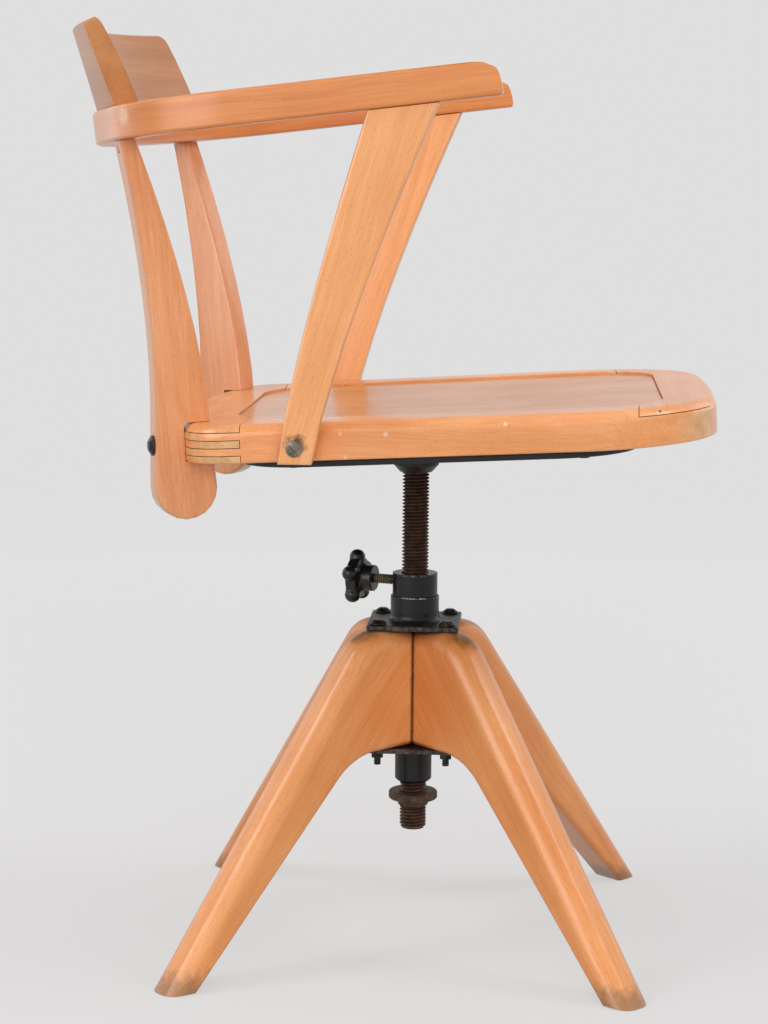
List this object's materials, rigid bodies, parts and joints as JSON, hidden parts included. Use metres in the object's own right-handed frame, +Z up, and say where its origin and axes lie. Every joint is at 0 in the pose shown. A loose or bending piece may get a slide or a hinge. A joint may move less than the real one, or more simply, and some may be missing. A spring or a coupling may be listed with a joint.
{
  "type": "swivel armchair",
  "caption": "Wooden swivel armchair with a bent armrest bow, a curved crest rail, a framed seat on a threaded spindle and a splayed cross base.",
  "frame": {"origin": "on the floor, under the middle of the bounding box", "axes": "+Z up, +X to the sitter's left, -Y to the front of the seat, +Y to the backrest"},
  "size_m": [0.488, 0.5618, 0.8151],
  "materials": {
    "beech": "glossy varnish, honey orange",
    "beech_dark": "unvarnished, darkened",
    "panel": "glossy varnished plywood",
    "black_paint": "satin black, worn at the edges",
    "black_iron": "matt black, patches of rust",
    "rusty_steel": "dark brown rust, greased thread",
    "knob_plastic": "glossy black",
    "aged_steel": "dull aged steel"
  },
  "bodies": {
    "base": {"leg_front_left": "beech", "leg_rear_left": "beech", "leg_rear_right": "beech", "leg_front_right": "beech", "top_plate": "black_paint", "bottom_plate": "black_paint", "column_sleeve": "black_paint", "base_bolt_front_left": "rusty_steel", "base_nut_front_left": "rusty_steel", "base_bolt_rear_left": "rusty_steel", "base_nut_rear_left": "rusty_steel", "base_bolt_rear_right": "rusty_steel", "base_nut_rear_right": "rusty_steel", "base_bolt_front_right": "rusty_steel", "base_nut_front_right": "rusty_steel"},
    "collar": {"threaded_collar": "black_paint", "column_tube": "black_iron"},
    "knob": {"star_knob": "knob_plastic", "clamp_screw": "aged_steel"},
    "seat": {"spindle": "rusty_steel", "stop_nut": "black_iron", "seat_hub": "black_paint", "upright_left": "beech", "front_strut_left": "beech", "upright_dowel_left": "beech_dark", "strut_dowel_left": "beech_dark", "upright_bolt_left": "black_paint", "strut_screw_left": "aged_steel", "upright_right": "beech", "front_strut_right": "beech", "upright_dowel_right": "beech_dark", "strut_dowel_right": "beech_dark", "upright_bolt_right": "black_paint", "strut_screw_right": "aged_steel", "hub_screw_front_left": "aged_steel", "hub_screw_rear_left": "aged_steel", "hub_screw_rear_right": "aged_steel", "hub_screw_front_right": "aged_steel", "side_rail_left": "beech", "side_rail_right": "beech", "front_rail": "beech", "rear_rail": "beech", "seat_panel": "panel", "under_board": "panel", "cross_batten": "beech_dark", "joint_pin_front_left": "rusty_steel", "joint_pin_rear_left": "rusty_steel", "joint_pin_front_right": "rusty_steel", "joint_pin_rear_right": "rusty_steel", "board_screw_front_left": "aged_steel", "board_screw_front_right": "aged_steel", "board_screw_rear_left": "aged_steel", "board_screw_rear_right": "aged_steel", "arm_bow": "beech", "crest_rail": "beech", "crest_dowel_left": "beech_dark", "crest_dowel_right": "beech_dark"}
  },
  "joints": [
    {"name": "swivel", "type": "hinge", "parent": "base", "child": "collar", "pos_m": [0, -0.01796, 0.3224], "axis": [0, 0, 1], "continuous": true},
    {"name": "seat_height", "type": "slide", "parent": "collar", "child": "seat", "axis": [0, 0, 1], "range_m": [-0.088, 0.009]},
    {"name": "knob_turn", "type": "hinge", "parent": "collar", "child": "knob", "pos_m": [0.01437, 0.02627, 0.3246], "axis": [-0.309, -0.9511, 0], "range_deg": [-720, 90]}
  ]
}
